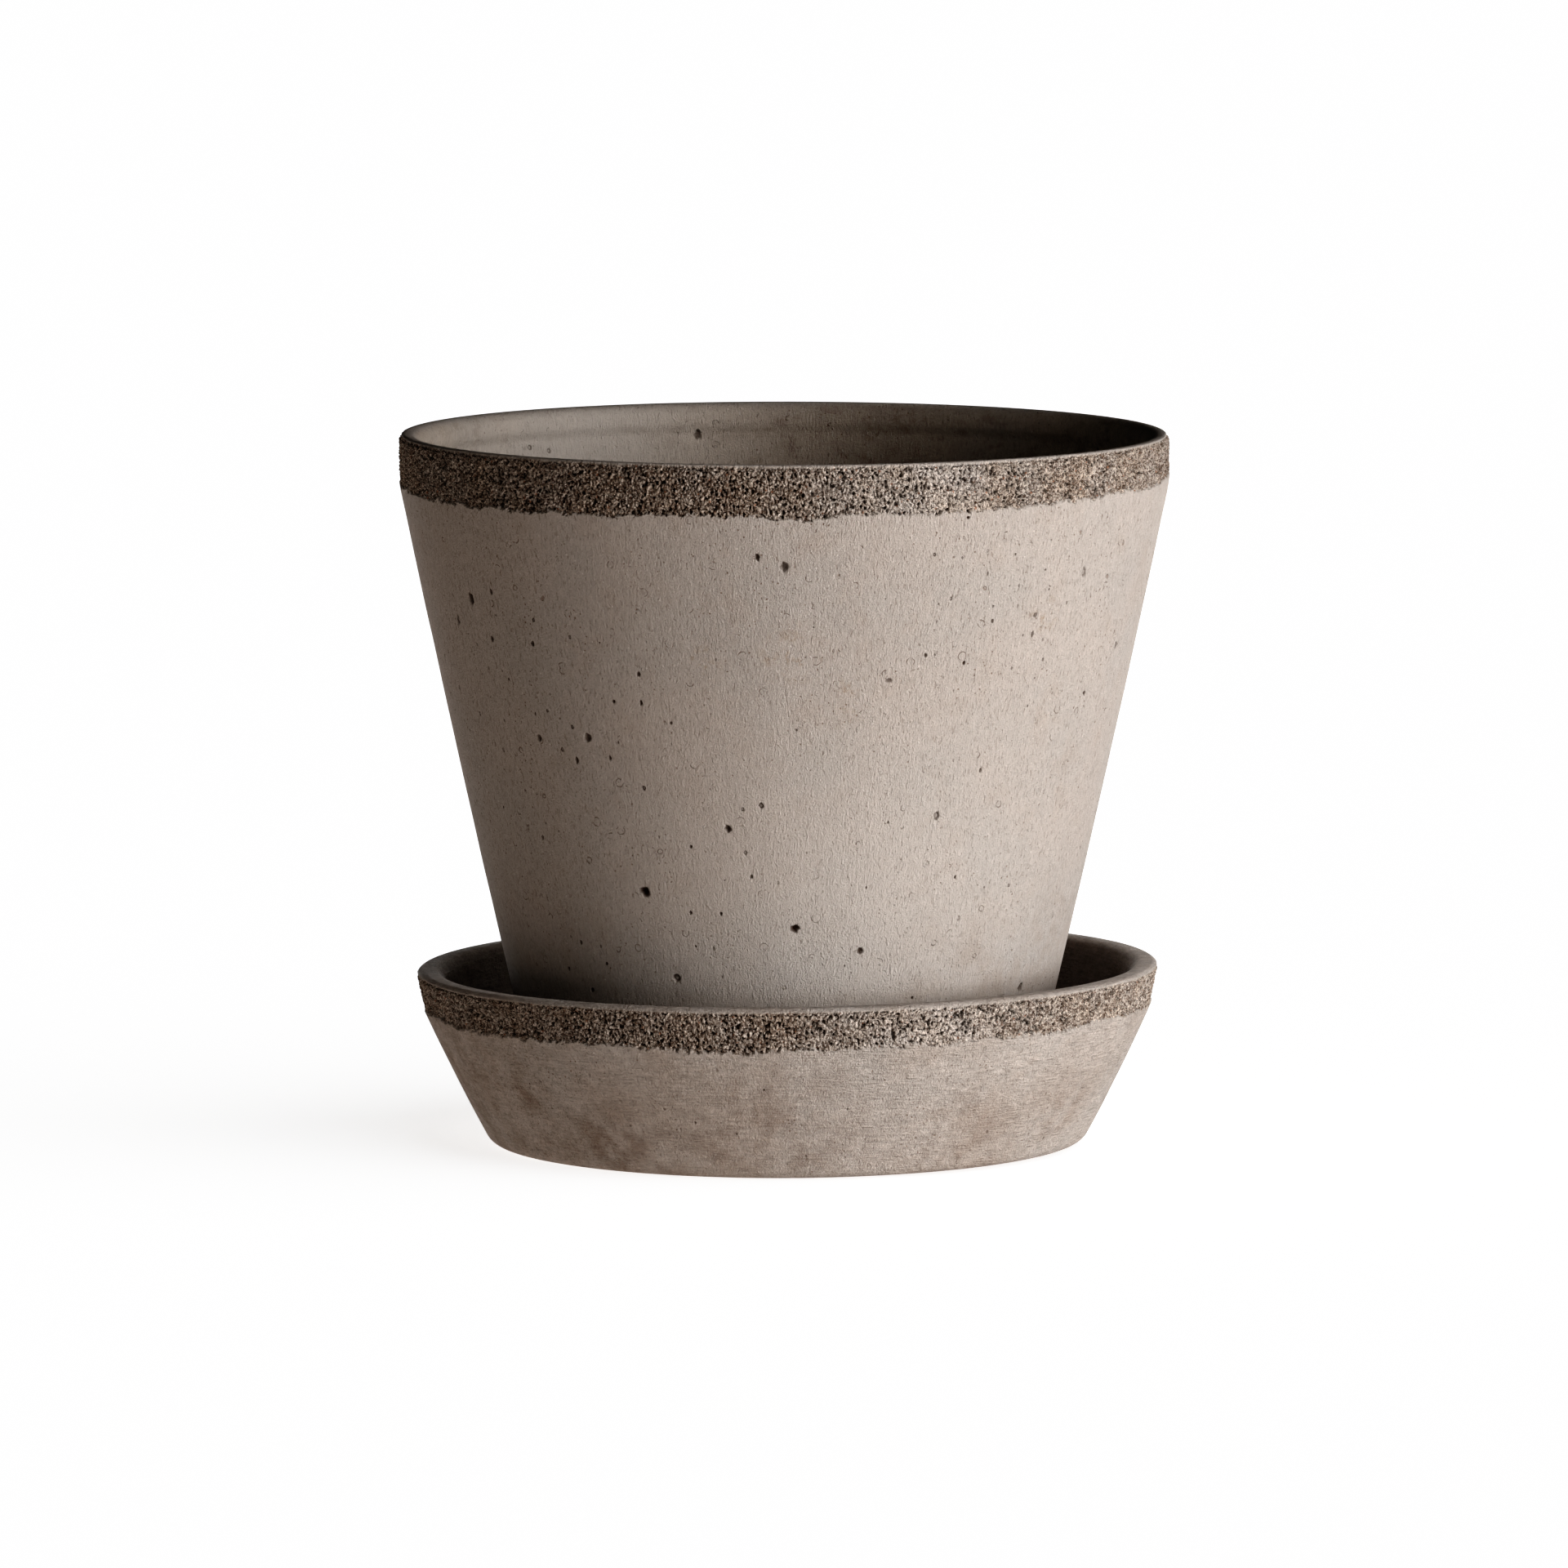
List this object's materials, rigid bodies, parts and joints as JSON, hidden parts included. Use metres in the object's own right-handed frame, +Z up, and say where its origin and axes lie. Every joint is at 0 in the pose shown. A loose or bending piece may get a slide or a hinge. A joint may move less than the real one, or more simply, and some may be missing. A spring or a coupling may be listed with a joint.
{
  "type": "terracotta plant pot with saucer",
  "caption": "Flared clay plant pot with a coarse scraped rim band, a drainage hole and a loose matching saucer that catches the water.",
  "frame": {"origin": "centre of the saucer's underside, on the surface that it stands on", "axes": "+Z up along the axis of the pot and saucer; both are round, so +X and +Y are free, and the pictured side faces -Y"},
  "size_m": [0.21, 0.21, 0.194],
  "materials": {
    "pot_clay": "matte unglazed, fine vertical brushing and pores, coarse dark scraped band at the rim",
    "saucer_clay": "matte unglazed, brown mottling and pores, coarse scraped band at the rim"
  },
  "bodies": {
    "saucer": {"saucer": "saucer_clay"},
    "pot": {"pot": "pot_clay"}
  },
  "joints": [
    {"name": "pot_lift", "type": "slide", "parent": "saucer", "child": "pot", "axis": [0, 0, 1], "range_m": [0, 0.06]}
  ]
}
